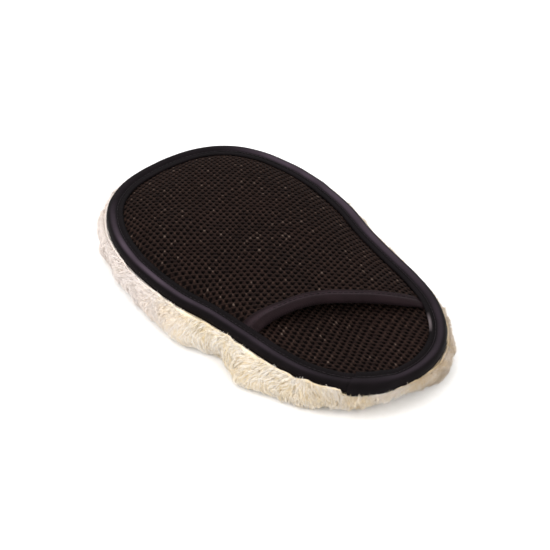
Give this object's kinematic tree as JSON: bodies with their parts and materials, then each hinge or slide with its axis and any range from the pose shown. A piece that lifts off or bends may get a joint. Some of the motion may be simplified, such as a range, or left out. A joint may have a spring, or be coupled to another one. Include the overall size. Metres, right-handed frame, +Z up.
{
  "type": "wash mitt",
  "caption": "Flat hand-shaped wash mitt: deep wool pile below, spacer-mesh hand pocket with a slanted mouth above, edges bound with folded tape.",
  "frame": {"origin": "middle of the mitt's plan box, on the surface that the pile rests on", "axes": "+Y towards the finger end, +Z up out of the hand cover, +X to the right seen from above, the side where the mouth cuts lowest"},
  "size_m": [0.1443, 0.2379, 0.0333],
  "materials": {
    "wool_pile": "cream wool pile, combed",
    "knit_backing": "knitted backing",
    "foam": "thin open-cell foam",
    "spacer_mesh": "dark brown polyester spacer mesh",
    "binding_tape": "dark twill tape with a faint sheen",
    "sewing_thread": "dark polyester thread"
  },
  "bodies": {
    "root": {"wool_pile": "wool_pile", "pile_backing": "knit_backing", "foam_pad": "foam", "palm_mesh": "spacer_mesh", "hand_cover": "spacer_mesh", "edge_binding": "binding_tape", "hem_binding": "binding_tape", "edge_needle_thread": "sewing_thread", "edge_bobbin_thread": "sewing_thread", "hem_needle_thread": "sewing_thread", "hem_bobbin_thread": "sewing_thread"}
  },
  "joints": []
}
